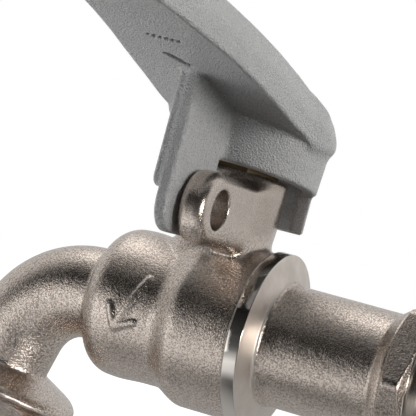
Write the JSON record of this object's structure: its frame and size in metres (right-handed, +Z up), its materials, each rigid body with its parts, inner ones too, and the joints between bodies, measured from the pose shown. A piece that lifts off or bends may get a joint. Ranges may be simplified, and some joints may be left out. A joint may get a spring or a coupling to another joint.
{
  "type": "ball valve",
  "caption": "Lockable garden bibcock: ball valve with threaded inlet, quarter-turn lever with padlock tab, curved spout, union nut and barbed hose tail.",
  "frame": {"origin": "on the pipe axis at the shoulder of the inlet hexagon, where the inlet thread starts", "axes": "+X along the pipe axis out of the inlet thread, +Z up along the valve stem, the closed lever points to -Y"},
  "size_m": [0.1203, 0.1034, 0.1251],
  "materials": {
    "cast_nickel": "nickel plated cast brass with a fine grain",
    "machined_nickel": "nickel plated brass, part machined",
    "nut_nickel": "nickel plated brass",
    "tail_nickel": "nickel plated turned brass",
    "bare_brass": "bare turned brass",
    "ball_chrome": "chromium plated brass, polished",
    "grey_powder_coat": "grey powder coat on die-cast aluminium",
    "ptfe": "white PTFE",
    "o_ring": "black rubber",
    "gasket_rubber": "black rubber",
    "zinc_steel": "zinc plated steel",
    "cap_plastic": "dark grey moulded plastic"
  },
  "bodies": {
    "valve": {"valve_body": "cast_nickel", "inlet_adapter": "machined_nickel", "body_seal_ring": "ptfe", "seat_inlet": "ptfe", "seat_outlet": "ptfe", "stem_thrust_washer": "ptfe", "gland_packing": "ptfe", "gland_ring": "bare_brass", "gland_nut": "bare_brass"},
    "lever_assembly": {"lever": "grey_powder_coat", "stem": "bare_brass", "stem_o_ring_lower": "o_ring", "stem_o_ring_upper": "o_ring", "lever_flat_washer": "zinc_steel", "lever_spring_washer": "zinc_steel", "lever_screw": "zinc_steel", "lever_cap": "cap_plastic"},
    "ball": {"ball": "ball_chrome"},
    "hose_tail": {"hose_tail": "tail_nickel", "union_gasket": "gasket_rubber"},
    "union_nut": {"union_nut": "nut_nickel"}
  },
  "joints": [
    {"name": "lever_turn", "type": "hinge", "parent": "valve", "child": "lever_assembly", "pos_m": [-0.047, 0, 0], "axis": [0, 0, -1], "range_deg": [0, 90]},
    {"name": "ball_turn", "type": "hinge", "parent": "valve", "child": "ball", "pos_m": [-0.047, 0, 0], "axis": [0, 0, -1], "range_deg": [0, 90]},
    {"name": "union_slide", "type": "slide", "parent": "valve", "child": "hose_tail", "axis": [-0.2588, 0, -0.9659], "range_m": [0, 0.0088]},
    {"name": "union_nut_turn", "type": "hinge", "parent": "hose_tail", "child": "union_nut", "pos_m": [-0.08718, 0, -0.02546], "axis": [-0.2588, 0, -0.9659], "range_deg": [0, 1764]}
  ],
  "couplings": [
    {"joint": "ball_turn", "follows": "lever_turn", "ratio": 1},
    {"joint": "union_nut_turn", "follows": "union_slide", "rad_per_m": 3463.7}
  ]
}
